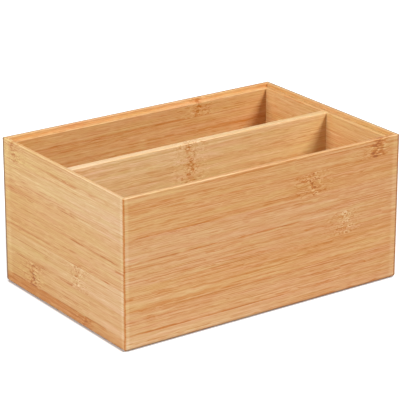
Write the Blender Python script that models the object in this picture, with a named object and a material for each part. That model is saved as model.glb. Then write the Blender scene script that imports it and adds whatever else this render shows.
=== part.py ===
"""An open bamboo storage box with a rabbeted rim, a sunk base and one long divider.

Every board is made as bamboo boards are: flat strips glued edge to edge. The four walls meet
in mitres, the base is let into a groove near their foot, and the divider stands on the base
with its ends housed in the side walls. X runs along the box, the front wall faces -Y, Z is up,
and the origin is the middle of the footprint. Lengths are in metres.
"""

from math import cos, pi, sin, sqrt, tan

import bmesh
import bpy
from mathutils import Matrix, Vector

# The whole box
BOX_LENGTH = 0.300
BOX_DEPTH = 0.200
BOX_HEIGHT = 0.140

# Walls, with a thin lip outside and a ledge inside along the rim
WALL_THICKNESS = 0.009
LIP_THICKNESS = 0.004
LIP_HEIGHT = 0.0034
FOOT_RADIUS = 0.0035
EASED_RADIUS = 0.0008

# Base board, let into a groove that runs round the inside
BASE_THICKNESS = 0.005
BASE_LIFT = 0.005
GROOVE_DEPTH = 0.0045

# Divider, flush with the ledge and housed in a slot in each side wall
DIVIDER_THICKNESS = 0.0078
DIVIDER_OFFSET = 0.0
HOUSING_DEPTH = 0.003

# Bamboo strips. The first one of each board is the one that the saw left narrower.
STRIP_WIDTH = 0.022
LONG_WALL_FIRST_STRIP = 0.013
SIDE_WALL_FIRST_STRIP = 0.011
DIVIDER_FIRST_STRIP = 0.0205
BASE_FIRST_STRIP = 0.0182
SLIVER_SHARE = 0.25

# Gap at every glued joint, and how far a cutter runs past what it cuts
JOINT_GAP = 0.0003
OVERRUN = 0.002

# Sides to each quarter circle
EASED_STEPS = 3
FOOT_STEPS = 6

# Bamboo's colour in its lightest and deepest strips, as linear red, green and blue
LIGHT_BAMBOO = (0.76, 0.47, 0.23)
DEEP_BAMBOO = (0.60, 0.29, 0.11)
BAMBOO_ROUGHNESS = 0.5

# How deep the tone of each board's first strip is, and how far it moves on from strip to strip
FRONT_TONE_SHARE = 0.30
REAR_TONE_SHARE = 0.55
LEFT_TONE_SHARE = 0.10
RIGHT_TONE_SHARE = 0.80
DIVIDER_TONE_SHARE = 0.20
BASE_TONE_SHARE = 0.45
TONE_STRIDE_SHARE = 0.618

# Heights and places that follow from the sizes above
LEDGE_HEIGHT = BOX_HEIGHT - LIP_HEIGHT
BASE_TOP = BASE_LIFT + BASE_THICKNESS
DIVIDER_FOOT = BASE_TOP + JOINT_GAP
BASE_INSET = WALL_THICKNESS - GROOVE_DEPTH + JOINT_GAP
HOUSING_INSET = WALL_THICKNESS - HOUSING_DEPTH


def clear_scene():
    """Removes whatever the opened file holds."""
    for existing in list(bpy.data.objects):
        bpy.data.objects.remove(existing, do_unlink=True)


def rounded_outline(corners):
    """Points of a closed outline whose corners, given as (depth, height, radius, steps), become arcs.

    An arc touches both edges at radius / tan(half the corner's angle), and no arc takes more
    than half of an edge.
    """
    points = []
    for index, (depth, height, radius, steps) in enumerate(corners):
        corner = Vector((depth, height))
        before = Vector(corners[index - 1][:2]) - corner
        after = Vector(corners[(index + 1) % len(corners)][:2]) - corner
        if radius == 0:
            points.append(corner)
            continue
        half_angle = before.angle(after) / 2
        reach = min(radius / tan(half_angle), before.length / 2, after.length / 2)
        start = corner + before.normalized() * reach
        end = corner + after.normalized() * reach
        to_centre = (before.normalized() + after.normalized()).normalized()
        centre = corner + to_centre * (reach / cos(half_angle))
        # Blender counts a signed angle clockwise and a rotation the other way
        turn = -(start - centre).angle_signed(end - centre)
        for step in range(steps + 1):
            spoke = start - centre
            spoke.rotate(Matrix.Rotation(turn * step / steps, 2))
            points.append(centre + spoke)
    return points


def carried_outline(name, outline, half_length, is_mitred):
    """Mesh of an outline of (depth, height) points carried along X, with flat or mitred ends.

    A mitred end is cut at 45 degrees, so each point's end lies its own depth further in.
    """
    mesh = bpy.data.meshes.new(name)
    shape = bmesh.new()
    for side in (-1, 1):
        ring = []
        for depth, height in outline:
            end = half_length - depth if is_mitred else half_length
            ring.append(shape.verts.new((side * end, depth, height)))
        shape.faces.new(ring)
    bmesh.ops.bridge_loops(shape, edges=list(shape.edges))
    bmesh.ops.recalc_face_normals(shape, faces=list(shape.faces))
    shape.to_mesh(mesh)
    shape.free()
    return mesh


def add_object(name, mesh, parent=None):
    """A new object of this mesh, in the scene and under its parent."""
    made = bpy.data.objects.new(name, mesh)
    bpy.context.scene.collection.objects.link(made)
    made.parent = parent
    return made


def add_frame(name, location, turn=0.0):
    """An empty that holds one board, turned about Z."""
    frame = add_object(name, None)
    frame.location = location
    frame.rotation_euler.z = turn
    return frame


def as_cutter(cutter):
    """Marks an object as a tool that isn't part of the box."""
    cutter.hide_render = True
    cutter.display_type = "WIRE"
    return cutter


def block_cutter(name, low, high, parent=None):
    """A box-shaped cutter between two corners."""
    mesh = bpy.data.meshes.new(name)
    shape = bmesh.new()
    size = Vector(high) - Vector(low)
    middle = (Vector(high) + Vector(low)) / 2
    stretch = Matrix.Diagonal(size.to_4d())
    bmesh.ops.create_cube(shape, size=1, matrix=Matrix.Translation(middle) @ stretch)
    shape.to_mesh(mesh)
    shape.free()
    return as_cutter(add_object(name, mesh, parent))


def corner_cutter():
    """Cuts the sharp outer corners off the box, down to an arc of EASED_RADIUS."""
    mesh = bpy.data.meshes.new("corner_cutter")
    shape = bmesh.new()
    for side_x, side_y in ((1, 1), (-1, 1), (-1, -1), (1, -1)):
        corner = Vector((side_x * BOX_LENGTH / 2, side_y * BOX_DEPTH / 2))
        centre = corner - Vector((side_x, side_y)) * EASED_RADIUS
        outline = []
        for step in range(EASED_STEPS + 1):
            angle = pi / 2 * step / EASED_STEPS
            spoke = Vector((side_x * sin(angle), side_y * cos(angle)))
            outline.append(centre + spoke * EASED_RADIUS)
        outline.append(Vector((corner.x + side_x * OVERRUN, centre.y)))
        outline.append(corner + Vector((side_x, side_y)) * OVERRUN)
        outline.append(Vector((centre.x, corner.y + side_y * OVERRUN)))
        face = shape.faces.new([shape.verts.new((x, y, -OVERRUN)) for x, y in outline])
        raised = bmesh.ops.extrude_face_region(shape, geom=[face])["geom"]
        raised_points = [item for item in raised if isinstance(item, bmesh.types.BMVert)]
        bmesh.ops.translate(shape, verts=raised_points, vec=(0, 0, BOX_HEIGHT + 2 * OVERRUN))
    bmesh.ops.recalc_face_normals(shape, faces=list(shape.faces))
    shape.to_mesh(mesh)
    shape.free()
    return as_cutter(add_object("corner_cutter", mesh))


def cut(piece, cutter, operation):
    """Gives a piece a Boolean step with this cutter."""
    step = piece.modifiers.new(cutter.name, "BOOLEAN")
    step.operation = operation
    step.object = cutter
    step.solver = "EXACT"


def bamboo(name, tone_share):
    """A Principled material between the lightest and the deepest bamboo."""
    material = bpy.data.materials.new(name)
    material.use_nodes = True
    shader = material.node_tree.nodes["Principled BSDF"]
    colour = Vector(LIGHT_BAMBOO).lerp(Vector(DEEP_BAMBOO), tone_share)
    shader.inputs["Base Color"].default_value = (*colour, 1)
    shader.inputs["Roughness"].default_value = BAMBOO_ROUGHNESS
    shader.inputs["Metallic"].default_value = 0
    material.diffuse_color = (*colour, 1)
    return material


def strip_bounds(low, high, first_width):
    """Places where a board's strips begin and end. A last strip too thin to glue joins the one before."""
    bounds = [low, low + first_width]
    while bounds[-1] + STRIP_WIDTH * (1 + SLIVER_SHARE) < high:
        bounds.append(bounds[-1] + STRIP_WIDTH)
    bounds.append(high)
    return bounds


def add_board(name, blank, frame, bounds, axis, tone_start_share, cutters=()):
    """Makes a board's strips: for each, the board's whole blank cut down to the strip's own width.

    The strips lie side by side along the axis "Y" or "Z", and share out one joint gap where they meet.
    """
    across = "XYZ".index(axis)
    reach = max(BOX_LENGTH, BOX_DEPTH) / 2 + OVERRUN
    for number, (low, high) in enumerate(zip(bounds, bounds[1:]), start=1):
        is_first = low == bounds[0]
        is_last = high == bounds[-1]
        low_corner = [-reach, -reach, -OVERRUN]
        high_corner = [reach, reach, BOX_HEIGHT + OVERRUN]
        low_corner[across] = low - OVERRUN if is_first else low + JOINT_GAP / 2
        high_corner[across] = high + OVERRUN if is_last else high - JOINT_GAP / 2
        strip = add_object(f"{name}_strip_{number}", blank.copy(), frame)
        cut(strip, block_cutter(f"{name}_slab_{number}", low_corner, high_corner, frame), "INTERSECT")
        for cutter in cutters:
            cut(strip, cutter, "DIFFERENCE")
        tone_share = (tone_start_share + number * TONE_STRIDE_SHARE) % 1
        strip.data.materials.append(bamboo(f"{strip.name}_bamboo", tone_share))


def wall_outline():
    """Section of a wall: rounded foot, base groove, and a rim with a lip outside and a ledge inside."""
    inner = WALL_THICKNESS
    groove = inner - GROOVE_DEPTH
    groove_low = BASE_LIFT - JOINT_GAP
    groove_high = BASE_TOP + JOINT_GAP
    return rounded_outline(
        (
            (0, 0, FOOT_RADIUS, FOOT_STEPS),
            (inner, 0, EASED_RADIUS, EASED_STEPS),
            (inner, groove_low, 0, 0),
            (groove, groove_low, 0, 0),
            (groove, groove_high, 0, 0),
            (inner, groove_high, 0, 0),
            (inner, LEDGE_HEIGHT, EASED_RADIUS, EASED_STEPS),
            (LIP_THICKNESS, LEDGE_HEIGHT, 0, 0),
            (LIP_THICKNESS, BOX_HEIGHT, EASED_RADIUS, EASED_STEPS),
            (0, BOX_HEIGHT, EASED_RADIUS, EASED_STEPS),
        )
    )


def divider_outline():
    """Section of the divider, with its upper edges eased."""
    half = DIVIDER_THICKNESS / 2
    return rounded_outline(
        (
            (-half, DIVIDER_FOOT, 0, 0),
            (half, DIVIDER_FOOT, 0, 0),
            (half, LEDGE_HEIGHT, EASED_RADIUS, EASED_STEPS),
            (-half, LEDGE_HEIGHT, EASED_RADIUS, EASED_STEPS),
        )
    )


def base_outline():
    """Section of the base board."""
    half = BOX_DEPTH / 2 - BASE_INSET
    return ((-half, BASE_LIFT), (half, BASE_LIFT), (half, BASE_TOP), (-half, BASE_TOP))


def add_walls():
    """Four mitred walls. The side walls also have the divider's housings."""
    corners = corner_cutter()
    half_housing = DIVIDER_THICKNESS / 2 + JOINT_GAP
    housing_reach = BOX_LENGTH / 2 - HOUSING_INSET
    housing = block_cutter(
        "housing_cutter",
        (-housing_reach, DIVIDER_OFFSET - half_housing, DIVIDER_FOOT - OVERRUN),
        (housing_reach, DIVIDER_OFFSET + half_housing, LEDGE_HEIGHT + OVERRUN),
    )
    # Half of a mitre's gap, measured along the wall
    mitre_setback = JOINT_GAP / sqrt(2)
    long_blank = carried_outline("long_wall", wall_outline(), BOX_LENGTH / 2 - mitre_setback, True)
    side_blank = carried_outline("side_wall", wall_outline(), BOX_DEPTH / 2 - mitre_setback, True)
    long_bounds = strip_bounds(0, BOX_HEIGHT, LONG_WALL_FIRST_STRIP)
    side_bounds = strip_bounds(0, BOX_HEIGHT, SIDE_WALL_FIRST_STRIP)
    front = add_frame("front_wall", (0, -BOX_DEPTH / 2, 0))
    rear = add_frame("rear_wall", (0, BOX_DEPTH / 2, 0), pi)
    left = add_frame("left_wall", (-BOX_LENGTH / 2, 0, 0), -pi / 2)
    right = add_frame("right_wall", (BOX_LENGTH / 2, 0, 0), pi / 2)
    add_board("front_wall", long_blank, front, long_bounds, "Z", FRONT_TONE_SHARE, [corners])
    add_board("rear_wall", long_blank, rear, long_bounds, "Z", REAR_TONE_SHARE, [corners])
    add_board("left_wall", side_blank, left, side_bounds, "Z", LEFT_TONE_SHARE, [corners, housing])
    add_board("right_wall", side_blank, right, side_bounds, "Z", RIGHT_TONE_SHARE, [corners, housing])


def add_divider():
    """The divider between the two compartments."""
    half_length = BOX_LENGTH / 2 - HOUSING_INSET - JOINT_GAP
    blank = carried_outline("divider", divider_outline(), half_length, False)
    bounds = strip_bounds(DIVIDER_FOOT, LEDGE_HEIGHT, DIVIDER_FIRST_STRIP)
    frame = add_frame("divider", (0, DIVIDER_OFFSET, 0))
    add_board("divider", blank, frame, bounds, "Z", DIVIDER_TONE_SHARE)


def add_base():
    """The base board in the walls' groove."""
    half_depth = BOX_DEPTH / 2 - BASE_INSET
    blank = carried_outline("base", base_outline(), BOX_LENGTH / 2 - BASE_INSET, False)
    bounds = strip_bounds(-half_depth, half_depth, BASE_FIRST_STRIP)
    add_board("base", blank, add_frame("base", (0, 0, 0)), bounds, "Y", BASE_TONE_SHARE)


clear_scene()
add_walls()
add_divider()
add_base()
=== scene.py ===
"""Finish of an open bamboo storage box: its strips, its bamboo and its stage.

The box is six boards, and each board is flat bamboo strips glued edge to edge. A strip is a
section of its board carried along it, with its own stretch of grain, its own tone and its own
node mark. In a board's own space, along runs the length of the board, depth goes in from its
outer face, and height goes up. Lengths are in metres.
"""

from functools import partial, reduce
from itertools import pairwise
from math import pi, radians, sqrt

import bpy
import numpy as np
from bpy.props import FloatProperty, FloatVectorProperty, PointerProperty
from bpy.types import Operator, Panel, PropertyGroup
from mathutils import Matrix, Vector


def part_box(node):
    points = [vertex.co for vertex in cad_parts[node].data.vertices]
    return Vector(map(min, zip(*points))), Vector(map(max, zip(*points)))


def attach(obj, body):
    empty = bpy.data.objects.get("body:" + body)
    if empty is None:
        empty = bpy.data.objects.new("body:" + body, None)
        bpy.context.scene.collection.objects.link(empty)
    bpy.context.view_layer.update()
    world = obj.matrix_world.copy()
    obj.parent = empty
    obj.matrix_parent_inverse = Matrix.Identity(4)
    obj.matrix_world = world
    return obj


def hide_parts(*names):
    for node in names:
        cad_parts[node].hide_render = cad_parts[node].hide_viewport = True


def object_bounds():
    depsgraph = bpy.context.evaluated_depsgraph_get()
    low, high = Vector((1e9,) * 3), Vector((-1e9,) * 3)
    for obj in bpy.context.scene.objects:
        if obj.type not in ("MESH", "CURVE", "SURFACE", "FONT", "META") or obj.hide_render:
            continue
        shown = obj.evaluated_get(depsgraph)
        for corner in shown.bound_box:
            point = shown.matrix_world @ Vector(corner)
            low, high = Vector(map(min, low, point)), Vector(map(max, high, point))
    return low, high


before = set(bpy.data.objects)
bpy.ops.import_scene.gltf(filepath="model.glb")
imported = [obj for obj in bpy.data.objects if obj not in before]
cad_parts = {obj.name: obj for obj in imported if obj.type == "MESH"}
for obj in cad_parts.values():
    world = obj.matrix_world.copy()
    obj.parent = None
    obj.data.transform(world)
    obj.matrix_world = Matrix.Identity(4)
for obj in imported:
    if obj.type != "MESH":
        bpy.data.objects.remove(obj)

bl_info = {
    "name": "Bamboo Storage Box",
    "version": (1, 0, 0),
    "blender": (4, 5, 0),
    "location": "View3D > Sidebar > Storage Box",
    "description": "Builds the glued strips, the bamboo and the stage of an open storage box",
    "category": "Object",
}

CAD_BOX = [list(corner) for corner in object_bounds()]

# The box's own sizes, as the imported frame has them. Its middle is at the origin, and it stands on z 0
HALF_LENGTH, HALF_DEPTH, BOX_HEIGHT = CAD_BOX[1]


def node_box(name):
    """Lowest and highest corner of a CAD node as arrays."""
    low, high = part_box(name)
    return np.array(low), np.array(high)


def strip_nodes(board_name):
    """A board's CAD nodes in the order in which its strips lie."""
    count = sum(name.startswith(f"{board_name}_strip_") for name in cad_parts)
    return [f"{board_name}_strip_{number}" for number in range(1, count + 1)]


def joint_places(board_name, axis):
    """Where a board's strips begin and end: its two edges, and the middle of each glued joint's gap."""
    boxes = [node_box(name) for name in strip_nodes(board_name)]
    lows = np.array([low[axis] for low, high in boxes])
    highs = np.array([high[axis] for low, high in boxes])
    return np.concatenate([lows[:1], (highs[:-1] + lows[1:]) / 2, highs[-1:]])


WALL_LOW, WALL_HIGH = node_box("front_wall_strip_4")
WALL_THICKNESS = float(WALL_HIGH[1] - WALL_LOW[1])
DIVIDER_LOW, DIVIDER_HIGH = node_box("divider_strip_1")
DIVIDER_THICKNESS = float(DIVIDER_HIGH[1] - DIVIDER_LOW[1])
LEDGE_HEIGHT = float(joint_places("divider", 2)[-1])
BASE_LOW, BASE_HIGH = node_box("base_strip_1")

# Steps to a quarter circle, and stations along the straight middle of a board
ARC_STEPS = 6
MIDDLE_STATIONS = 41

# How far the arc of an upright edge cuts in at the mitre, as a share of its radius
MITRE_CUT_SHARE = 1 - sqrt(0.5)

# Faces that meet at a smaller angle are shaded as one
SHARP_ANGLE = radians(35)

# A length in metres that no feature reaches
FAR_AWAY = 10.0

# Tones run from 0, the palest bamboo, past 1, the deepest, to the scorched lines of a node
FRONT_TONE_SHARES = (0.38, 0.44, 0.45, 0.42, 0.44, 0.50, 0.50)
LEFT_TONE_SHARES = (0.72, 0.31, 0.18, 0.38, 0.36, 0.15, 0.18)
REAR_TONE_SHARES = (0.50, 0.42, 0.54, 0.44, 0.50, 0.40, 0.34)
RIGHT_TONE_SHARES = (0.45, 0.30, 0.42, 0.36, 0.28, 0.35, 0.23)
DIVIDER_TONE_SHARES = (0.18, 0.05, 0.10, 0.03, 0.0, -0.09)
BASE_TONE_SHARES = (0.48, 0.40, 0.55, 0.44, 0.50, 0.38, 0.52, 0.46, 0.42)

# How golden a strip is: the share of blue that it lacks
FRONT_GOLD_SHARES = (-0.08, -0.05, 0.06, -0.04, -0.07, 0.05, 0.05)
LEFT_GOLD_SHARES = (0.14, 0.10, 0.06, 0.14, 0.15, 0.09, 0.14)
REAR_GOLD_SHARES = (0.0, 0.04, 0.0, 0.03, 0.0, 0.04, 0.06)
RIGHT_GOLD_SHARES = (0.03, 0.08, 0.04, 0.06, 0.09, 0.06, 0.09)
DIVIDER_GOLD_SHARES = (0.08, 0.07, 0.10, 0.08, 0.08, 0.06)
BASE_GOLD_SHARES = (0.0, 0.04, 0.0, 0.03, 0.0, 0.04, 0.0, 0.03, 0.0)

# Node marks by strip: place as a share of the board's half length, and how strong the mark's
# shade with its dashes, its scar and its rings are. Rings below 0 are dark ones
FRONT_MARK_SHARES = {
    7: (0.83, 0.38, 0.8, -0.5),
    6: (0.35, 0.10, 1.0, 1.2),
    4: (0.60, 0.04, 0.3, 1.5),
}
LEFT_MARK_SHARES = {
    7: (-0.80, 0.12, 0.6, -0.8),
    3: (0.26, 0.07, 0.6, 1.2),
    2: (-0.50, 0.24, 1.0, 1.0),
    1: (0.40, 0.15, 0.5, 0.5),
}
REAR_MARK_SHARES = {
    7: (-0.40, 0.15, 0.7, 0.8),
    5: (0.55, 0.05, 0.3, 0.8),
    2: (-0.72, 0.12, 0.7, 0.7),
}
RIGHT_MARK_SHARES = {
    6: (0.35, 0.08, 0.5, 0.8),
    4: (-0.60, 0.12, 0.7, 0.7),
    3: (0.72, 0.0, 0.2, 0.7),
}
DIVIDER_MARK_SHARES = {
    6: (-0.105, 0.06, 0.3, -1.4),
    5: (-0.10, 0.06, 0.3, -1.5),
    4: (-0.11, 0.06, 0.3, -1.4),
    2: (0.62, 0.10, 0.6, 0.8),
}
BASE_MARK_SHARES = {
    2: (-0.45, 0.10, 0.6, 0.8),
    5: (0.30, 0.05, 0.3, 0.8),
    8: (0.70, 0.15, 0.8, 0.8),
}
NO_MARK = (FAR_AWAY, 0.0, 0.0, 0.0)

# Dark glue lines by strip, along its lower joint: start and end as shares of the half length, and
# strength. A strip that is in no table gets a stretch of its own, with a strength in this range
INVENTED_GLUE_STRENGTHS = (0.3, 0.9)
FRONT_GLUE_SHARES = {
    2: (-0.9, 0.2, 0.8),
    3: (-0.95, -0.1, 0.6),
    4: (-0.8, 0.0, 0.5),
    5: (-0.87, 0.3, 1.0),
    6: (-0.96, -0.36, 0.8),
    7: (-1.1, -0.55, 0.8),
}
LEFT_GLUE_SHARES = {
    2: (-1.0, 0.9, 1.1),
    3: (-0.88, 0.2, 1.0),
    4: (0.04, 0.95, 1.0),
    5: (0.1, 0.97, 1.1),
    6: (-0.24, 0.3, 1.2),
    7: (-0.5, 0.4, 0.4),
}

# What each point of a strip tells its material, three numbers to an attribute
FIELDS = {
    # Along from the mitre over the spread of its dark arris, in from the outer face, and up from the
    # lower joint
    "edges": ("from_mitre", "from_face", "from_joint"),
    # Past the start and before the end of the lower joint's dark stretch, and the stretch's strength
    "glue": ("past_start", "before_end", "glue_strength"),
    # Along from the node mark, and the strength of its shade and of its rings
    "mark": ("from_mark", "mark_shade", "mark_rings"),
    # The strip's tone, which drifts along the board, the strength of the mark's scar, up from the floor
    "tone": ("strip_tone", "mark_scar", "from_floor"),
    # How golden the strip is, how much painted shade its upright arris takes, and the painted light on
    # its rim's outer arris: painted shade, and a painted highlight where this is below 0
    "lean": ("gold", "arris_dulling", "rim_dulling"),
}


class Board:
    """One board: where it lies, how its strips are stacked, and what they look like.

    Its outer face is turned about Z and starts from a place in x and y. A drift is what the
    board's end gains over its middle. Of the numbers for the two ends, the spreads widen the
    dark band of the upright arris, and the others lay painted shade on that arris, a dark outline
    where it meets the background. The rim's number lays painted shade on the rim's outer arris,
    and a painted highlight on the rim where it is below 0.
    """

    def __init__(self, name, slot, tones, golds, marks, glue=None, turn=0.0, start=(0.0, 0.0),
                 half_length=HALF_LENGTH, across_axis=2, is_mitred=True, tone_drift_share=0.0,
                 foot_drift_share=0.0, gold_drift_share=0.0, arris_spreads=(1.0, 1.0),
                 arris_dulling=(0.0, 0.0), rim_dulling=0.0):
        self.name = name
        self.slot = slot
        self.tones = tones
        self.golds = golds
        self.marks = marks
        self.glue = glue or {}
        self.turn = turn
        self.start = np.array(start)
        self.half_length = half_length
        self.across_axis = across_axis
        self.is_mitred = is_mitred
        self.tone_drift_share = tone_drift_share
        self.foot_drift_share = foot_drift_share
        self.gold_drift_share = gold_drift_share
        self.arris_spreads = arris_spreads
        self.arris_dulling = arris_dulling
        self.rim_dulling = rim_dulling

    def to_box(self, points):
        """Board space to box space: a turn about Z, then a move to the board's outer face."""
        cosine, sine = np.cos(self.turn), np.sin(self.turn)
        along, depth, height = points.T
        x = along * cosine - depth * sine + self.start[0]
        y = along * sine + depth * cosine + self.start[1]
        return np.column_stack([x, y, height])

    def from_box(self, points):
        """Box space to board space, the reverse of to_box."""
        cosine, sine = np.cos(self.turn), np.sin(self.turn)
        x = points[:, 0] - self.start[0]
        y = points[:, 1] - self.start[1]
        return np.column_stack([x * cosine + y * sine, y * cosine - x * sine, points[:, 2]])


# The arris and rim numbers paint light and shade: a dark outline on some arrises and rims, and a
# highlight on the front and left rims
FRONT = Board("front_wall", "front_bamboo", FRONT_TONE_SHARES, FRONT_GOLD_SHARES, FRONT_MARK_SHARES,
              FRONT_GLUE_SHARES, start=(0.0, -HALF_DEPTH), tone_drift_share=0.07, foot_drift_share=0.08,
              arris_spreads=(1.0, 1.5), arris_dulling=(0.0, 0.5), rim_dulling=-0.5)
REAR = Board("rear_wall", "rear_bamboo", REAR_TONE_SHARES, REAR_GOLD_SHARES, REAR_MARK_SHARES,
             turn=pi, start=(0.0, HALF_DEPTH), rim_dulling=0.8)
LEFT = Board("left_wall", "left_bamboo", LEFT_TONE_SHARES, LEFT_GOLD_SHARES, LEFT_MARK_SHARES,
             LEFT_GLUE_SHARES, turn=-pi / 2, start=(-HALF_LENGTH, 0.0), half_length=HALF_DEPTH,
             tone_drift_share=-0.08, foot_drift_share=-0.13, gold_drift_share=-0.13,
             arris_spreads=(2.2, 1.0), arris_dulling=(0.85, 0.0), rim_dulling=-0.4)
RIGHT = Board("right_wall", "right_bamboo", RIGHT_TONE_SHARES, RIGHT_GOLD_SHARES, RIGHT_MARK_SHARES,
              turn=pi / 2, start=(HALF_LENGTH, 0.0), half_length=HALF_DEPTH, rim_dulling=0.8)
DIVIDER = Board("divider", "divider_bamboo", DIVIDER_TONE_SHARES, DIVIDER_GOLD_SHARES,
                DIVIDER_MARK_SHARES, start=(0.0, float(DIVIDER_LOW[1])),
                half_length=float(DIVIDER_HIGH[0]), is_mitred=False,
                tone_drift_share=0.10, gold_drift_share=0.04)
BASE = Board("base", "base_bamboo", BASE_TONE_SHARES, BASE_GOLD_SHARES, BASE_MARK_SHARES,
             half_length=float(BASE_HIGH[0]), across_axis=1, is_mitred=False)
BOARDS = (FRONT, REAR, LEFT, RIGHT, DIVIDER, BASE)


class BoxShape(PropertyGroup):
    """Small sizes of the boards' edges."""

    lip_thickness: FloatProperty(
        name="Lip Thickness",
        description="Thickness of the lip that stands outside the rim's ledge",
        default=0.004, min=0.001, subtype="DISTANCE", unit="LENGTH")
    foot_radius: FloatProperty(
        name="Foot Radius",
        description="Radius of the walls' lower outer edge",
        default=0.0035, min=0.0005, subtype="DISTANCE", unit="LENGTH")
    eased_radius: FloatProperty(
        name="Eased Radius",
        description="Radius of the rim's edges and of the box's four upright edges",
        default=0.0008, min=0.0002, subtype="DISTANCE", unit="LENGTH")
    joint_easing: FloatProperty(
        name="Joint Easing",
        description="Radius of each strip's corners beside a glue line",
        default=0.00008, min=0.00002, subtype="DISTANCE", unit="LENGTH")
    slot_clearance: FloatProperty(
        name="Slot Clearance",
        description="Gap round the divider in its housings and round the base board in its groove",
        default=0.00008, min=0.00002, subtype="DISTANCE", unit="LENGTH")


class BambooFinish(PropertyGroup):
    """Colours of the bamboo and sizes of its grain."""

    cream: FloatVectorProperty(
        name="Cream", description="Palest flecks and rings of a node mark",
        default=(0.86, 0.62, 0.37), size=3, min=0, max=1, subtype="COLOR")
    pale: FloatVectorProperty(
        name="Pale", description="Bamboo between the fibres of a pale strip",
        default=(0.755, 0.492, 0.236), size=3, min=0, max=1, subtype="COLOR")
    honey: FloatVectorProperty(
        name="Honey", description="Bamboo of a middling strip",
        default=(0.652, 0.325, 0.118), size=3, min=0, max=1, subtype="COLOR")
    deep: FloatVectorProperty(
        name="Deep", description="Dark fibres and the deepest strips",
        default=(0.54, 0.175, 0.018), size=3, min=0, max=1, subtype="COLOR")
    scorched: FloatVectorProperty(
        name="Scorched", description="Lines of a node mark and dark glue",
        default=(0.36, 0.088, 0.005), size=3, min=0, max=1, subtype="COLOR")
    # The colour of painted shade: a dark outline on the arrises and rims at the edge of the box
    shade_umber: FloatVectorProperty(
        name="Umber", description="Dull brown of the arrises farthest from the front",
        default=(0.20, 0.11, 0.05), size=3, min=0, max=1, subtype="COLOR")
    streak_length: FloatProperty(
        name="Streak Length", description="Length of the widest streaks along the grain",
        default=0.28, min=0.01, subtype="DISTANCE", unit="LENGTH")
    streak_width: FloatProperty(
        name="Streak Width", description="Width of the widest streaks across the grain",
        default=0.0027, min=0.0003, subtype="DISTANCE", unit="LENGTH")
    fibre_length: FloatProperty(
        name="Fibre Length", description="Length of a dark fibre bundle along the grain",
        default=0.017, min=0.001, subtype="DISTANCE", unit="LENGTH")
    fibre_width: FloatProperty(
        name="Fibre Width", description="Width of a dark fibre bundle across the grain",
        default=0.0007, min=0.0001, subtype="DISTANCE", unit="LENGTH")
    node_length: FloatProperty(
        name="Node Length", description="Length of a node mark along the grain",
        default=0.013, min=0.002, subtype="DISTANCE", unit="LENGTH")
    ring_length: FloatProperty(
        name="Ring Length", description="Length of one of the small rings of a node mark",
        default=0.0052, min=0.0005, subtype="DISTANCE", unit="LENGTH")
    tint_length: FloatProperty(
        name="Tint Length", description="Length of the golden and rosy stretches of the bamboo",
        default=0.060, min=0.005, subtype="DISTANCE", unit="LENGTH")
    roughness: FloatProperty(
        name="Roughness", description="Roughness of the satin lacquer",
        default=0.46, min=0.0, max=1.0, subtype="FACTOR")
    relief: FloatProperty(
        name="Relief", description="Height of the open grain under the lacquer",
        default=0.00003, min=0.0, subtype="DISTANCE", unit="LENGTH")


class StageLook(PropertyGroup):
    """Floor and light."""

    floor_shade: FloatProperty(
        name="Floor Shade", description="How pale the floor is to the camera, from black to white",
        default=0.8, min=0.0, max=1.0, subtype="FACTOR")
    floor_bounce: FloatProperty(
        name="Floor Bounce", description="Share of its light that the floor gives back to the box",
        default=0.3, min=0.0, max=1.0, subtype="FACTOR")
    floor_glow: FloatProperty(
        name="Floor Glow", description="How much whiter the floor looks to the camera than it is",
        default=0.68, min=0.0, max=1.0, subtype="FACTOR")
    contact_width: FloatProperty(
        name="Contact Width", description="How far from the box the floor's glow sets in",
        default=0.003, min=0.0, subtype="DISTANCE", unit="LENGTH")
    sky_level: FloatProperty(
        name="Sky Level", description="How bright the even light all round makes a white face",
        default=0.1, min=0.0)
    key_level: FloatProperty(
        name="Key Level",
        description="How bright the light from the front right makes a white face turned to it",
        default=0.985, min=0.0)
    fill_level: FloatProperty(
        name="Fill Level",
        description="How bright the light from the left makes a white face turned to it",
        default=0.80, min=0.0)
    key_spread: FloatProperty(
        name="Key Spread",
        description="Width of the light from the front right, which softens its shadows",
        default=radians(22), min=0.0, subtype="ANGLE", unit="ROTATION")
    fill_spread: FloatProperty(
        name="Fill Spread",
        description="Width of the light from the left, which softens its shadows",
        default=radians(35), min=0.0, subtype="ANGLE", unit="ROTATION")


def rounded_outline(corners):
    """Closed outline of (depth, height) points in which every right-angled corner becomes an arc.

    With unit vectors b back along the outline and a onwards, and u from 0 to a quarter turn,
    an arc of radius r in the corner C is C + r (1 - sin u) b + r (1 - cos u) a.
    """
    values = np.array(corners, float)
    points, radii = values[:, :2], values[:, 2]
    back = np.roll(points, 1, axis=0) - points
    onwards = np.roll(points, -1, axis=0) - points
    back /= np.linalg.norm(back, axis=1, keepdims=True)
    onwards /= np.linalg.norm(onwards, axis=1, keepdims=True)
    turn = np.linspace(0, pi / 2, ARC_STEPS + 1)[None, :, None]
    arcs = (1 - np.sin(turn)) * back[:, None] + (1 - np.cos(turn)) * onwards[:, None]
    return (points[:, None] + radii[:, None, None] * arcs).reshape(-1, 2)


def stations(half_length, eased_radius):
    """Shares of the half length at which a board's section is repeated, from -1 to 1.

    The last stretch at each end follows the upright edge's arc: half_length - r + r sin(angle),
    for angles up to an eighth of a turn. The others are evenly spaced, with one in the middle.
    """
    reach = half_length - eased_radius * MITRE_CUT_SHARE
    angle = np.linspace(0, pi / 4, ARC_STEPS + 1)
    end = (half_length - eased_radius + eased_radius * np.sin(angle)) / reach
    middle = np.linspace(-end[0], end[0], MIDDLE_STATIONS)
    return np.concatenate([-end[::-1], middle[1:-1], end])


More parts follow.
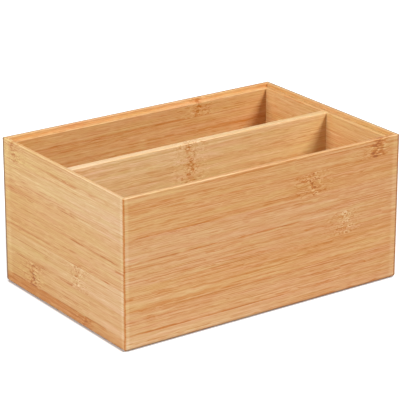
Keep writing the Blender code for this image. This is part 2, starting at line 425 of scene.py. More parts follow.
def carried_outline(outline, half_length, eased_radius, is_mitred=False):
    """Points and faces of an outline carried along a board, with flat or mitred ends.

    At share w of the way, a point of depth t lies at w (half_length - max(t, c)) along the board,
    where c = r (1 - 1 / sqrt 2) is how far the upright edge's arc cuts in at the mitre. Near
    the ends its depth is at least the arc's, r - sqrt(r^2 - (|along| - half_length + r)^2).
    A board with flat ends has no such arc, and every point ends at half_length.
    """
    share = stations(half_length, eased_radius)[None, :]
    depth, height = outline[:, :1], outline[:, 1:]
    if is_mitred:
        cut_in = eased_radius * MITRE_CUT_SHARE
        along = share * (half_length - np.maximum(depth, cut_in))
        past = np.clip(np.abs(along) - half_length + eased_radius, 0, eased_radius)
        arc = eased_radius - np.sqrt(eased_radius**2 - past**2)
        depth = np.maximum(depth, arc)
    else:
        along = share * half_length * np.ones_like(depth)
        depth = depth * np.ones_like(share)
    height = height * np.ones_like(share)
    points = np.stack([along, depth, height], axis=-1)
    rows, columns = points.shape[:2]
    index = np.arange(rows * columns).reshape(rows, columns)
    onwards = np.roll(index, -1, axis=0)
    sides = np.stack([index[:, :-1], onwards[:, :-1], onwards[:, 1:], index[:, 1:]], axis=-1)
    caps = [index[::-1, 0].tolist(), index[:, -1].tolist()]
    return points.reshape(-1, 3), sides.reshape(-1, 4).tolist() + caps


def plain_section(depths, heights, easing):
    """A plain strip between two depths and two heights: a rectangle with barely eased corners."""
    front, back = depths
    low, high = heights
    return rounded_outline([
        (front, low, easing),
        (back, low, easing),
        (back, high, easing),
        (front, high, easing),
    ])


def rim_section(low, shape):
    """A wall's top strip: a lip outside, a ledge inside, and eased upper edges."""
    easing, eased = shape.joint_easing, shape.eased_radius
    lip = shape.lip_thickness
    return rounded_outline([
        (0, low, easing),
        (WALL_THICKNESS, low, easing),
        (WALL_THICKNESS, LEDGE_HEIGHT, eased),
        (lip, LEDGE_HEIGHT, easing),
        (lip, BOX_HEIGHT, eased),
        (0, BOX_HEIGHT, eased),
    ])


def foot_section(high, shape):
    """A wall's lowest strip: a well rounded outer foot and the groove that holds the base board."""
    easing = shape.joint_easing
    groove_back = float(BASE_LOW[0]) + HALF_LENGTH - shape.slot_clearance
    groove_low = float(BASE_LOW[2]) - shape.slot_clearance
    groove_high = float(BASE_HIGH[2]) + shape.slot_clearance
    return rounded_outline([
        (0, 0, shape.foot_radius),
        (WALL_THICKNESS, 0, shape.eased_radius),
        (WALL_THICKNESS, groove_low, easing),
        (groove_back, groove_low, easing),
        (groove_back, groove_high, easing),
        (WALL_THICKNESS, groove_high, easing),
        (WALL_THICKNESS, high, easing),
        (0, high, easing),
    ])


def divider_top_section(low, shape):
    """The divider's top strip, with both upper edges eased."""
    return rounded_outline([
        (0, low, shape.joint_easing),
        (DIVIDER_THICKNESS, low, shape.joint_easing),
        (DIVIDER_THICKNESS, LEDGE_HEIGHT, shape.eased_radius),
        (0, LEDGE_HEIGHT, shape.eased_radius),
    ])


def wall_outlines(joints, shape):
    """A wall's strips from the floor up: the foot strip, plain strips, and the rim strip."""
    depths = (0, WALL_THICKNESS)
    plain = [plain_section(depths, heights, shape.joint_easing) for heights in pairwise(joints[1:-1])]
    return [foot_section(joints[1], shape), *plain, rim_section(joints[-2], shape)]


def divider_outlines(joints, shape):
    """The divider's strips from the base board up: plain strips, and a top strip with eased edges."""
    depths = (0, DIVIDER_THICKNESS)
    plain = [plain_section(depths, heights, shape.joint_easing) for heights in pairwise(joints[:-1])]
    return [*plain, divider_top_section(joints[-2], shape)]


def base_outlines(joints, shape):
    """The base board's strips, which lie flat side by side."""
    heights = (BASE_LOW[2], BASE_HIGH[2])
    return [plain_section(depths, heights, shape.joint_easing) for depths in pairwise(joints)]


def new_object(name, points, faces):
    """An object of these points and faces. An earlier one of the same name makes way for it."""
    earlier = bpy.data.objects.get(name)
    if earlier:
        bpy.data.objects.remove(earlier)
    mesh = bpy.data.meshes.new(name)
    mesh.from_pydata(points.tolist(), [], faces)
    mesh.update()
    made = bpy.data.objects.new(name, mesh)
    bpy.context.scene.collection.objects.link(made)
    return made


def cut_housing(piece, shape):
    """Cuts the slot that holds the divider's end, as a Boolean step that is applied at once."""
    clearance = shape.slot_clearance
    low = DIVIDER_LOW - clearance
    high = DIVIDER_HIGH + clearance
    outline = np.array([
        (low[1], low[2]),
        (high[1], low[2]),
        (high[1], BOX_HEIGHT),
        (low[1], BOX_HEIGHT),
    ])
    points, faces = carried_outline(outline, float(high[0]), shape.eased_radius)
    cutter = new_object("housing_cutter", points, faces)
    step = piece.modifiers.new("housing", "BOOLEAN")
    step.operation = "DIFFERENCE"
    step.solver = "EXACT"
    step.object = cutter
    bpy.context.view_layer.update()
    graph = bpy.context.evaluated_depsgraph_get()
    uncut = piece.data
    piece.data = bpy.data.meshes.new_from_object(piece.evaluated_get(graph))
    piece.data.name = uncut.name
    piece.modifiers.clear()
    bpy.data.meshes.remove(uncut)
    cutter_mesh = cutter.data
    bpy.data.objects.remove(cutter)
    bpy.data.meshes.remove(cutter_mesh)


def write_attribute(mesh, name, values):
    """One vector for each point of the mesh, for the material to read."""
    attribute = mesh.attributes.new(name, "FLOAT_VECTOR", "POINT")
    attribute.data.foreach_set("vector", np.asarray(values, np.float32).ravel())


def lay_grain(piece, board, number, low):
    """Writes where each point lies in its strip's bamboo: its place in the grain, and its FIELDS.

    The place is along, across and through the strip, moved to a stretch of bamboo of its own.
    """
    mesh = piece.data
    points = np.empty(len(mesh.vertices) * 3)
    mesh.vertices.foreach_get("co", points)
    along, depth, height = board.from_box(points.reshape(-1, 3)).T
    across, through = (height, depth) if board.across_axis == 2 else (depth, height)
    draw = np.random.default_rng([BOARDS.index(board), number])
    shift = draw.uniform(-FAR_AWAY, FAR_AWAY, 3)
    write_attribute(mesh, "grain", np.column_stack([along, across, through]) + shift)

    half = board.half_length
    from_mitre = half - np.abs(along) - np.clip(depth, 0, WALL_THICKNESS)
    from_mitre /= np.where(along < 0, *board.arris_spreads)
    invented_glue = (*np.sort(draw.uniform(-1, 1, 2)), draw.uniform(*INVENTED_GLUE_STRENGTHS))
    glue_start, glue_end, glue_strength = board.glue.get(number, invented_glue)
    mark_place, mark_shade, mark_scar, mark_rings = board.marks.get(number, NO_MARK)
    drift = board.tone_drift_share + (board.foot_drift_share if number == 1 else 0.0)
    values = {
        "from_mitre": from_mitre if board.is_mitred else FAR_AWAY,
        "from_face": through,
        "from_joint": across - low if number > 1 else FAR_AWAY,
        "past_start": along - glue_start * half,
        "before_end": glue_end * half - along,
        "glue_strength": glue_strength,
        "from_mark": along - mark_place * half,
        "mark_shade": mark_shade,
        "mark_rings": mark_rings,
        "strip_tone": board.tones[number - 1] + drift * along / half,
        "mark_scar": mark_scar,
        "from_floor": height,
        "gold": board.golds[number - 1] + board.gold_drift_share * along / half,
        "arris_dulling": np.where(along < 0, *board.arris_dulling),
        "rim_dulling": board.rim_dulling,
    }
    everywhere = np.ones_like(along)
    for attribute, names in FIELDS.items():
        write_attribute(mesh, attribute, np.column_stack([values[name] * everywhere for name in names]))


def finish_piece(piece, board, node):
    """Smooth arcs beside flat faces, the board's bamboo, and the strip's place in the frame."""
    piece.data.shade_smooth()
    piece.data.set_sharp_from_angle(angle=SHARP_ANGLE)
    evening = piece.modifiers.new("even_faces", "WEIGHTED_NORMAL")
    evening.keep_sharp = True
    piece.data.materials.clear()
    piece.data.materials.append(bamboo(f"{board.name}_finish"))
    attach(piece, "root")
    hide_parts(node)


def build_board(board, outlines_of, has_housing=False):
    """One board: a piece for each strip, with the outline that outlines_of gives it."""
    shape = bpy.context.scene.box_shape
    joints = joint_places(board.name, board.across_axis)
    strips = zip(strip_nodes(board.name), joints, outlines_of(joints, shape))
    for number, (node, low, outline) in enumerate(strips, start=1):
        points, faces = carried_outline(outline, board.half_length, shape.eased_radius, board.is_mitred)
        piece = new_object(f"{node}_bamboo", board.to_box(points), faces)
        if has_housing:
            cut_housing(piece, shape)
        lay_grain(piece, board, number, low)
        finish_piece(piece, board, node)


# A Mix node's sockets for the share, the first and the second value, and its output
MIXED_NUMBERS = (0, 2, 3, 0)
MIXED_COLOURS = (0, 6, 7, 2)

# A Noise node gives values about its mean. This gain spreads most of them from -1 to 1
NOISE_MEAN = 0.5
NOISE_GAIN = 4.0


class Recipe:
    """Short ways to add the nodes of a material or a world, and to link them."""

    def __init__(self, owner):
        owner.use_nodes = True
        self.tree = owner.node_tree

    def feed(self, socket, value):
        """Links a socket or sets a plain value."""
        if isinstance(value, bpy.types.NodeSocket):
            self.tree.links.new(value, socket)
        else:
            socket.default_value = value

    def math(self, operation, *values):
        """The sum, product or other operation of a Math node."""
        node = self.tree.nodes.new("ShaderNodeMath")
        node.operation = operation
        for socket, value in zip(node.inputs, values):
            self.feed(socket, value)
        return node.outputs[0]

    def add(self, *values):
        """The sum of all values."""
        return reduce(partial(self.math, "ADD"), values)

    def times(self, *values):
        """The product of all values."""
        return reduce(partial(self.math, "MULTIPLY"), values)

    def off(self, value, place=0.0):
        """How far a value is from a place, on either side."""
        return self.math("ABSOLUTE", self.math("SUBTRACT", value, place))

    def vector_math(self, operation, *values):
        """The vector that a Vector Math node gives."""
        node = self.tree.nodes.new("ShaderNodeVectorMath")
        node.operation = operation
        for socket, value in zip(node.inputs, values):
            self.feed(socket, value)
        return node.outputs[0]

    def attribute(self, name):
        """A vector attribute of the mesh."""
        node = self.tree.nodes.new("ShaderNodeAttribute")
        node.attribute_name = name
        return node.outputs["Vector"]

    def split(self, vector):
        """The three numbers of a vector."""
        node = self.tree.nodes.new("ShaderNodeSeparateXYZ")
        self.feed(node.inputs[0], vector)
        return node.outputs

    def combine(self, x, y, z):
        """A vector of three numbers."""
        node = self.tree.nodes.new("ShaderNodeCombineXYZ")
        for socket, value in zip(node.inputs, (x, y, z)):
            self.feed(socket, value)
        return node.outputs[0]

    def mix(self, share, first, second, data_type="FLOAT"):
        """The first value at share 0 and below, the second at share 1 and above."""
        node = self.tree.nodes.new("ShaderNodeMix")
        node.data_type = data_type
        *inputs, output = MIXED_COLOURS if data_type == "RGBA" else MIXED_NUMBERS
        for place, value in zip(inputs, (share, first, second)):
            self.feed(node.inputs[place], value)
        return node.outputs[output]

    def rise(self, value, low, high):
        """0 up to low, 1 from high on, and a smooth step between them."""
        node = self.tree.nodes.new("ShaderNodeMapRange")
        node.interpolation_type = "SMOOTHSTEP"
        self.feed(node.inputs["Value"], value)
        self.feed(node.inputs["From Min"], low)
        self.feed(node.inputs["From Max"], high)
        return node.outputs["Result"]

    def fall(self, value, low, high):
        """1 up to low, 0 from high on."""
        return self.math("SUBTRACT", 1.0, self.rise(value, low, high))

    def reach(self, distance, unit, place, near, far):
        """1 within near of a place and 0 from far on. All three are in a unit of length."""
        return self.fall(self.off(distance, place * unit), near * unit, far * unit)

    def noise(self, place, length, width, depth=None, detail=2.0, roughness=0.5):
        """Smooth noise about 0 with features of this length, this width and this or the same depth."""
        node = self.tree.nodes.new("ShaderNodeTexNoise")
        lengths = (length, width, depth or width)
        self.feed(node.inputs["Vector"], self.vector_math("DIVIDE", place, lengths))
        node.inputs["Scale"].default_value = 1.0
        node.inputs["Detail"].default_value = detail
        node.inputs["Roughness"].default_value = roughness
        return self.times(self.math("SUBTRACT", node.outputs[0], NOISE_MEAN), NOISE_GAIN)

    def cells(self, place, length, width):
        """Distance from the nearest of many scattered points, in cells of this length and width."""
        node = self.tree.nodes.new("ShaderNodeTexVoronoi")
        self.feed(node.inputs["Vector"], self.vector_math("DIVIDE", place, (length, width, width)))
        node.inputs["Scale"].default_value = 1.0
        return node.outputs["Distance"]

    def is_seen(self):
        """1 for rays from the camera, a reflection or a clear body, 0 for rays that gather light."""
        rays = self.tree.nodes.new("ShaderNodeLightPath")
        kinds = ("Is Camera Ray", "Is Glossy Ray", "Is Transmission Ray")
        return reduce(partial(self.math, "MAXIMUM"), [rays.outputs[kind] for kind in kinds])


# How much each part of the bamboo adds to its tone, to its roughness and to its relief
TONE_WEIGHTS = {
    "strip": 1.0,
    "band": 0.08,
    "streak": 0.19,
    "threads": 0.26,
    "fibres": 0.26,
    "bundles": 0.22,
    "lines": 0.38,
    "rings": -0.36,
    "hearts": 0.42,
    "scar": 0.80,
    "shade": 1.0,
    "dashes": 2.2,
    "ripples": 0.60,
    "tail": 0.22,
    "glue": 0.70,
    "mitre": 0.50,
    # These three paint light and shade: a highlight beside the upright edges, shade along the foot, and
    # a highlight on some rims
    "edge_highlight": -0.22,
    "foot": 0.18,
    "rim_highlight": 1.0,
}
ROUGHNESS_WEIGHTS = {"fibres": 0.03, "streak": 0.03}
RELIEF_WEIGHTS = {"fibres": -0.5, "bundles": -1.0, "scar": -1.5, "hearts": -1.0}

# The noise behind each kind of feature: the length and the width of the look that it is sized by,
# how many times these its features are, its detail and its roughness
STREAK = ("streak_length", "streak_width")
FIBRE = ("fibre_length", "fibre_width")
NODE = ("node_length", "streak_width")
TINT = ("tint_length", "streak_width")
NOISES = {
    "slow": (STREAK, 1.3, 7.0, 1, 0.5),
    "swirl": (NODE, 0.4, 1.0, 2, 0.5),
    "band": (STREAK, 2.0, 4.0, 1, 0.5),
    "streak": (STREAK, 1.0, 1.0, 4, 0.72),
    "threads": (STREAK, 0.4, 0.3, 1, 0.5),
    "fibres": (FIBRE, 1.0, 1.0, 2, 0.6),
    "bundles": (FIBRE, 4.0, 0.8, 0, 0.5),
    "lines": (STREAK, 2.0, 0.8, 1, 0.5),
    "line_patches": (STREAK, 0.5, 3.0, 0, 0.5),
    "rags": (NODE, 0.3, 0.5, 2, 0.5),
    "dashes": (NODE, 0.5, 0.5, 1, 0.5),
    "ripples": (NODE, 0.7, 1.0, 1, 0.5),
    "ripple_patches": (NODE, 0.8, 1.5, 1, 0.5),
    "lean": (TINT, 1.0, 2.0, 3, 0.6),
}

# The tone at which the bamboo has each colour, and what a rosy lean adds to red, green and blue
COLOUR_TONES = {"cream": -0.4, "pale": 0.0, "honey": 0.5, "deep": 1.0, "scorched": 1.6}
ROSY_SHARES = (0.018, -0.036, 0.07)

# How far the fibres wander sideways: everywhere, in short waves, and where they swirl round a node
SLOW_WANDER = 0.0008
WAVE_WANDER = 0.0004
SWIRL_WANDER = 0.0010
WAVE_LENGTH = 0.014
WAVE_WIDTH = 0.005

# The values of noise between which bundles and patches of lines set in, and lines fade
BUNDLE_RANGE = (0.45, 1.0)
LINE_RANGE = (0.0, 0.22)
LINE_PATCH_RANGE = (-0.4, 0.3)

# Along the grain, a node mark's parts have a place and the two distances between which they fade,
# all in the mark's own lengths
SWIRL_REACH = (0.0, 0.5, 2.0)
SHADE_REACH = (0.0, 0.25, 0.60)
DASH_REACH = (0.2, 0.3, 0.9)
RIPPLE_REACH = (-0.2, 0.5, 2.2)
TAIL_START = -2.5
TAIL_MIDDLE = -0.5
SCAR_PLACE = -0.15

# The scar fades between two distances, and it is broken into strokes of this length, width and
# depth. The whole mark is jagged across the strip, its edge is ragged besides, and its rings stray
SCAR_FADE = (0.0012, 0.0036)
SCAR_STROKE = (0.005, 0.0026, 0.01)
JAG_REACH = 0.0035
JAG_WIDTH = 0.006
JAG_DEPTH = 0.02
RAG_REACH = 0.0025
RING_STRAY = 0.0010

# Rings and hearts lie about scattered points, each in its cell. The radius and the fades are in
# cells, and the slimness is how wide a cell is for its length
RING_RADIUS = 0.38
RING_FADE = (0.04, 0.15)
RING_SLIMNESS = 0.62
HEART_FADE = (0.12, 0.26)

# The values of noise between which strokes, patches and the tail set in, and ripples fade. The gap
# is how much paler than usual it gets between the ripples
STROKE_RANGE = (0.0, 0.5)
RIPPLE_RANGE = (0.05, 0.30)
RIPPLE_PATCH_RANGE = (-0.5, 0.4)
RIPPLE_GAP = 0.3
TAIL_RANGE = (-0.2, 0.6)

# A glue line fades towards its ends and up from the joint, beside a fainter stain, and has breaks
GLUE_END = 0.012
GLUE_FADE = (0.0005, 0.0016)
STAIN_FADE = (0.0, 0.005)
STAIN_SHARE = 0.2
GLUE_BREAK_LENGTH = 0.02
GLUE_BREAK_WIDTH = 0.01
GLUE_BREAK_RANGE = (-0.7, 0.3)

# Distances between which the edges' tones fade or set in: in from the outer face, along from the
# mitre, also for the painted highlight beside it, up from the floor for the painted shade of the foot,
# down from the rim's top, and in from the outer face again for the rims' painted highlight and shade
OUTSIDE_FADE = (0.0004, 0.0010)
ARRIS_FADE = (0.0009, 0.0017)
MITRE_FADE = (0.0001, 0.0003)
EDGE_HIGHLIGHT_RISE = (0.0012, 0.0018)
EDGE_HIGHLIGHT_FADE = (0.0035, 0.0060)
FOOT_SHADE_FADE = (0.0012, 0.0032)
TOP_FADE = (0.0003, 0.0009)
RIM_HIGHLIGHT_FADE = (0.0006, 0.0014)
SHADED_RIM_FADE = (0.0014, 0.0024)


class BambooRecipe(Recipe):
    """A recipe with what the parts of the bamboo share: each point's FIELDS and the parts so far."""

    def __init__(self, owner, look):
        super().__init__(owner)
        self.look = look
        self.grain = self.attribute("grain")
        self.point = {}
        for attribute, names in FIELDS.items():
            self.point.update(zip(names, self.split(self.attribute(attribute))))
        self.parts = {"strip": self.point["strip_tone"]}

    def drawn(self, place, kind):
        """The noise behind a kind of feature, by its row of NOISES."""
        (length_name, width_name), length_share, width_share, detail, roughness = NOISES[kind]
        length = length_share * getattr(self.look, length_name)
        width = width_share * getattr(self.look, width_name)
        return self.noise(place, length, width, detail=detail, roughness=roughness)

    def weigh(self, weights):
        """The sum of the parts in a table of weights, each times its weight."""
        return self.add(*[self.times(self.parts[name], weight) for name, weight in weights.items()])


def bend_grain(r):
    """Lets the fibres wander a little everywhere, and swirl round a node."""
    near_node = r.reach(r.point["from_mark"], r.look.node_length, *SWIRL_REACH)
    waves = r.noise(r.grain, WAVE_LENGTH, WAVE_WIDTH, detail=1)
    r.swirl = r.drawn(r.grain, "swirl")
    wander = r.add(
        r.times(r.drawn(r.grain, "slow"), SLOW_WANDER),
        r.times(waves, WAVE_WANDER),
        r.times(r.swirl, near_node, r.point["mark_rings"], SWIRL_WANDER),
    )
    r.bent = r.vector_math("ADD", r.grain, r.combine(0.0, wander, wander))


def add_streaks(r):
    """Bands, streaks, fine threads, fibres, dark bundles of them, and long thin lines in patches."""
    for name in ("band", "streak", "threads", "fibres"):
        r.parts[name] = r.drawn(r.bent, name)
    r.parts["bundles"] = r.rise(r.drawn(r.bent, "bundles"), *BUNDLE_RANGE)
    lines = r.fall(r.off(r.drawn(r.bent, "lines")), *LINE_RANGE)
    patches = r.rise(r.drawn(r.grain, "line_patches"), *LINE_PATCH_RANGE)
    r.parts["lines"] = r.times(lines, patches)


def add_node_mark(r):
    """The shade of a node with rings and hearts, level dashes, a broken scar, ripples and a tail.

    The rings are pale and their hearts dark, or the other way round where their strength is below 0.
    """
    node, ring = r.look.node_length, r.look.ring_length
    shade, rings, scar = [r.point[name] for name in ("mark_shade", "mark_rings", "mark_scar")]
    jag = r.times(r.noise(r.grain, FAR_AWAY, JAG_WIDTH, JAG_DEPTH, detail=2), JAG_REACH)
    from_scar = r.math("SUBTRACT", r.point["from_mark"], jag)
    rag = r.times(r.drawn(r.grain, "rags"), RAG_REACH)
    zone = r.reach(r.add(from_scar, rag), node, *SHADE_REACH)
    r.parts["shade"] = r.times(zone, shade)
    dash_reach = r.reach(from_scar, node, *DASH_REACH)
    r.parts["dashes"] = r.times(r.drawn(r.grain, "dashes"), dash_reach, shade)

    ring_place = r.vector_math("ADD", r.grain, r.combine(r.times(r.swirl, RING_STRAY), 0.0, 0.0))
    cells = r.cells(ring_place, ring, RING_SLIMNESS * ring)
    r.parts["rings"] = r.times(r.fall(r.off(cells, RING_RADIUS), *RING_FADE), zone, rings)
    r.parts["hearts"] = r.times(r.fall(cells, *HEART_FADE), zone, rings)

    strokes = r.rise(r.noise(r.grain, *SCAR_STROKE, detail=0), *STROKE_RANGE)
    scar_reach = r.fall(r.off(from_scar, SCAR_PLACE * node), *SCAR_FADE)
    r.parts["scar"] = r.times(scar_reach, strokes, scar)

    ripples = r.fall(r.off(r.drawn(r.bent, "ripples")), *RIPPLE_RANGE)
    patches = r.rise(r.drawn(r.grain, "ripple_patches"), *RIPPLE_PATCH_RANGE)
    ripple_reach = r.reach(from_scar, node, *RIPPLE_REACH)
    strength = r.times(r.add(r.math("ABSOLUTE", rings), scar), 0.5)
    contrast = r.math("SUBTRACT", ripples, RIPPLE_GAP)
    r.parts["ripples"] = r.times(contrast, patches, ripple_reach, strength)

    tail_growth = r.rise(from_scar, TAIL_START * node, TAIL_MIDDLE * node)
    tail_end = r.fall(from_scar, TAIL_MIDDLE * node, 0.0)
    tail_streaks = r.rise(r.parts["streak"], *TAIL_RANGE)
    r.parts["tail"] = r.times(tail_growth, tail_end, tail_streaks, scar)


def add_glue_line(r):
    """Dark glue along a stretch of the lower joint."""
    past_start, before_end = r.point["past_start"], r.point["before_end"]
    stretch = r.times(r.rise(past_start, 0.0, GLUE_END), r.rise(before_end, 0.0, GLUE_END))
    break_place = r.noise(r.grain, GLUE_BREAK_LENGTH, GLUE_BREAK_WIDTH, detail=2)
    line = r.times(r.fall(r.point["from_joint"], *GLUE_FADE), 1 - STAIN_SHARE)
    stain = r.times(r.fall(r.point["from_joint"], *STAIN_FADE), STAIN_SHARE)
    unbroken = r.rise(break_place, *GLUE_BREAK_RANGE)
    r.parts["glue"] = r.times(r.add(line, stain), stretch, unbroken, r.point["glue_strength"])


def add_edges(r):
    """Dark upright edges, painted highlights beside them and on some rims, and painted shade
    along the foot and as a dark outline on the other rims and on some arrises.
    """
    from_face, from_mitre = r.point["from_face"], r.point["from_mitre"]
    from_floor, rim_dulling = r.point["from_floor"], r.point["rim_dulling"]
    is_outside = r.fall(from_face, *OUTSIDE_FADE)
    arris = r.times(r.fall(from_mitre, *ARRIS_FADE), is_outside)
    r.parts["mitre"] = r.math("MAXIMUM", arris, r.fall(from_mitre, *MITRE_FADE))
    # Painted highlight: a pale band on the outer faces beside each upright edge
    band = r.times(r.rise(from_mitre, *EDGE_HIGHLIGHT_RISE), r.fall(from_mitre, *EDGE_HIGHLIGHT_FADE))
    r.parts["edge_highlight"] = r.times(band, is_outside)
    # Painted shade along the foot, darkest just above the floor
    r.parts["foot"] = r.fall(from_floor, *FOOT_SHADE_FADE)

    # Painted highlight on the rims whose number is below 0, and painted shade on the outer arris of the
    # others
    is_top = r.fall(r.math("SUBTRACT", BOX_HEIGHT, from_floor), *TOP_FADE)
    rim_highlight_strength = r.math("MINIMUM", rim_dulling, 0.0)
    r.parts["rim_highlight"] = r.times(is_top, r.fall(from_face, *RIM_HIGHLIGHT_FADE), rim_highlight_strength)
    dull_rim = r.times(is_top, r.fall(from_face, *SHADED_RIM_FADE), rim_dulling)
    # Painted shade: a dark outline on some upright arrises and on the outer arris of some rims
    r.parts["dull"] = r.math("MAXIMUM", r.times(arris, r.point["arris_dulling"]), dull_rim)


def bamboo_colour(r):
    """The summed tone's colour, leaning golden or rosy in stretches, and painted shade at some arrises.
    """
    lowest, highest = min(COLOUR_TONES.values()), max(COLOUR_TONES.values())
    ramp = r.tree.nodes.new("ShaderNodeValToRGB")
    stops = [((tone - lowest) / (highest - lowest), name) for name, tone in COLOUR_TONES.items()]
    for place, _ in stops[1:-1]:
        ramp.color_ramp.elements.new(place)
    for element, (place, name) in zip(ramp.color_ramp.elements, stops):
        element.position = place
        element.color = (*getattr(r.look, name), 1)
    above_lowest = r.math("SUBTRACT", r.weigh(TONE_WEIGHTS), lowest)
    r.feed(ramp.inputs[0], r.math("DIVIDE", above_lowest, highest - lowest))

    lean = r.drawn(r.bent, "lean")
    red, green, blue = [r.add(1.0, r.times(lean, share)) for share in ROSY_SHARES]
    tint = r.combine(red, green, r.math("SUBTRACT", blue, r.point["gold"]))
    tinted = r.vector_math("MULTIPLY", ramp.outputs[0], tint)
    # Painted shade mixes the colour towards dull brown
    return r.mix(r.parts["dull"], tinted, (*r.look.shade_umber, 1), "RGBA")


def bamboo(name):
    """Flat-pressed bamboo under satin lacquer, summed up from its parts."""
    existing = bpy.data.materials.get(name)
    if existing:
        return existing
    material = bpy.data.materials.new(name)
    r = BambooRecipe(material, bpy.context.scene.bamboo_finish)
    bend_grain(r)
    add_streaks(r)
    add_node_mark(r)
    add_glue_line(r)
    add_edges(r)

    shader = r.tree.nodes["Principled BSDF"]
    r.feed(shader.inputs["Base Color"], bamboo_colour(r))
    r.feed(shader.inputs["Roughness"], r.add(r.look.roughness, r.weigh(ROUGHNESS_WEIGHTS)))
    bump = r.tree.nodes.new("ShaderNodeBump")
    bump.inputs["Distance"].default_value = r.look.relief
    r.feed(bump.inputs["Height"], r.weigh(RELIEF_WEIGHTS))
    r.feed(shader.inputs["Normal"], bump.outputs["Normal"])
    return material


# The photograph's view: the camera's place, its turn from +Y, its drop and its focal length in mm
CAMERA_PLACE = (-1.0619, -1.5117, 0.7578)
CAMERA_AZIMUTH = radians(35.05)
CAMERA_DROP = radians(20.21)
FOCAL_LENGTH = 193.3

# The floor, and how open it is to the sky where its glow begins and is full
FLOOR_RADIUS = 8.0
FLOOR_SIDES = 96
FLOOR_DROP = 0.0001
FLOOR_ROUGHNESS = 0.9
OPENNESS_RANGE = (0.44, 0.86)

# The lights shine from their places towards the origin
KEY_PLACE = (0.81, -1.35, 1.35)
FILL_PLACE = (-1.75, -0.05, 0.9)


def build_floor(look):
    """A wide pale disc, a hair below the box. To the camera it glows white but for the shadow."""
    angle = np.linspace(0, 2 * pi, FLOOR_SIDES, endpoint=False)
    rim = np.column_stack([np.cos(angle), np.sin(angle), np.zeros_like(angle)]) * FLOOR_RADIUS
    rim[:, 2] = -FLOOR_DROP
    floor = new_object("floor", rim, [list(range(len(rim)))])
    material = bpy.data.materials.new("white_floor")
    r = Recipe(material)
    shader = r.tree.nodes["Principled BSDF"]
    seen = r.is_seen()
    r.feed(shader.inputs["Base Color"], r.mix(seen, look.floor_bounce, look.floor_shade))
    shader.inputs["Roughness"].default_value = FLOOR_ROUGHNESS
    shader.inputs["Specular IOR Level"].default_value = 0.0
    shader.inputs["Emission Color"].default_value = (1, 1, 1, 1)
    openness = r.tree.nodes.new("ShaderNodeAmbientOcclusion")
    openness.inputs["Distance"].default_value = look.contact_width
    glow = r.rise(openness.outputs["AO"], *OPENNESS_RANGE)
    r.feed(shader.inputs["Emission Strength"], r.times(seen, glow, look.floor_glow))
    floor.data.materials.append(material)


def build_world(look):
    """White all round: even light on the box, and plain white to the camera and in reflections."""
    world = bpy.data.worlds.new("white_room")
    r = Recipe(world)
    background = r.tree.nodes["Background"]
    background.inputs["Color"].default_value = (1, 1, 1, 1)
    r.feed(background.inputs["Strength"], r.mix(r.is_seen(), look.sky_level, 1.0))
    bpy.context.scene.world = world


def add_soft_light(name, place, spread, level):
    """A wide light, even all over the floor. A white face turned to it looks as bright as its level."""
    light = bpy.data.lights.new(name, "SUN")
    light.angle = spread
    light.energy = level * pi
    lamp = bpy.data.objects.new(name, light)
    bpy.context.scene.collection.objects.link(lamp)
    lamp.location = place
    lamp.rotation_euler = lamp.location.to_track_quat("Z", "Y").to_euler()


def add_camera():
    """The camera at the photograph's viewing angle."""
    lens = bpy.data.cameras.new("camera")
    lens.lens = FOCAL_LENGTH
    camera = bpy.data.objects.new("camera", lens)
    bpy.context.scene.collection.objects.link(camera)
    camera.location = CAMERA_PLACE
    camera.rotation_euler = (pi / 2 - CAMERA_DROP, 0, -CAMERA_AZIMUTH)
    bpy.context.scene.camera = camera


class STORAGEBOX_OT_long_walls(Operator):
    """Builds the strips of the front and rear walls"""

    bl_idname = "storage_box.long_walls"
    bl_label = "Long Walls"

    def execute(self, context):
        build_board(FRONT, wall_outlines)
        build_board(REAR, wall_outlines)
        return {"FINISHED"}


class STORAGEBOX_OT_side_walls(Operator):
    """Builds the strips of the left and right walls, with the divider's housings"""

    bl_idname = "storage_box.side_walls"
    bl_label = "Side Walls"

    def execute(self, context):
        build_board(LEFT, wall_outlines, has_housing=True)
        build_board(RIGHT, wall_outlines, has_housing=True)
        return {"FINISHED"}


class STORAGEBOX_OT_divider(Operator):
    """Builds the strips of the divider"""

    bl_idname = "storage_box.divider"
    bl_label = "Divider"

    def execute(self, context):
        build_board(DIVIDER, divider_outlines)
        return {"FINISHED"}


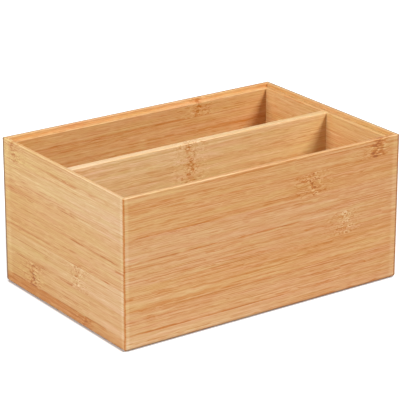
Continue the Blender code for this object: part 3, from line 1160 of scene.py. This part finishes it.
class STORAGEBOX_OT_base(Operator):
    """Builds the strips of the base board"""

    bl_idname = "storage_box.base"
    bl_label = "Base Board"

    def execute(self, context):
        build_board(BASE, base_outlines)
        return {"FINISHED"}


class STORAGEBOX_OT_stage(Operator):
    """Sets up the floor, the light and the camera"""

    bl_idname = "storage_box.stage"
    bl_label = "Stage"

    def execute(self, context):
        look = context.scene.stage_look
        build_floor(look)
        build_world(look)
        add_soft_light("key_light", KEY_PLACE, look.key_spread, look.key_level)
        add_soft_light("fill_light", FILL_PLACE, look.fill_spread, look.fill_level)
        add_camera()
        context.scene.view_settings.view_transform = "Standard"
        return {"FINISHED"}


class STORAGEBOX_PT_panel(Panel):
    """Lists the sizes, the colours and the steps in the 3D view's sidebar"""

    bl_idname = "STORAGEBOX_PT_panel"
    bl_label = "Storage Box"
    bl_space_type = "VIEW_3D"
    bl_region_type = "UI"
    bl_category = "Storage Box"

    def draw(self, context):
        for group in (context.scene.box_shape, context.scene.bamboo_finish, context.scene.stage_look):
            column = self.layout.column()
            for key in group.__annotations__:
                column.prop(group, key)
        for operator in OPERATORS:
            self.layout.operator(operator.bl_idname)


OPERATORS = (
    STORAGEBOX_OT_long_walls,
    STORAGEBOX_OT_side_walls,
    STORAGEBOX_OT_divider,
    STORAGEBOX_OT_base,
    STORAGEBOX_OT_stage,
)
CLASSES = (BoxShape, BambooFinish, StageLook, *OPERATORS, STORAGEBOX_PT_panel)


def register():
    for part in CLASSES:
        bpy.utils.register_class(part)
    bpy.types.Scene.box_shape = PointerProperty(type=BoxShape)
    bpy.types.Scene.bamboo_finish = PointerProperty(type=BambooFinish)
    bpy.types.Scene.stage_look = PointerProperty(type=StageLook)


def unregister():
    del bpy.types.Scene.stage_look
    del bpy.types.Scene.bamboo_finish
    del bpy.types.Scene.box_shape
    for part in reversed(CLASSES):
        bpy.utils.unregister_class(part)


def main():
    register()
    bpy.ops.storage_box.long_walls()
    bpy.ops.storage_box.side_walls()
    bpy.ops.storage_box.divider()
    bpy.ops.storage_box.base()
    bpy.ops.storage_box.stage()


if __name__ == "__main__":
    main()
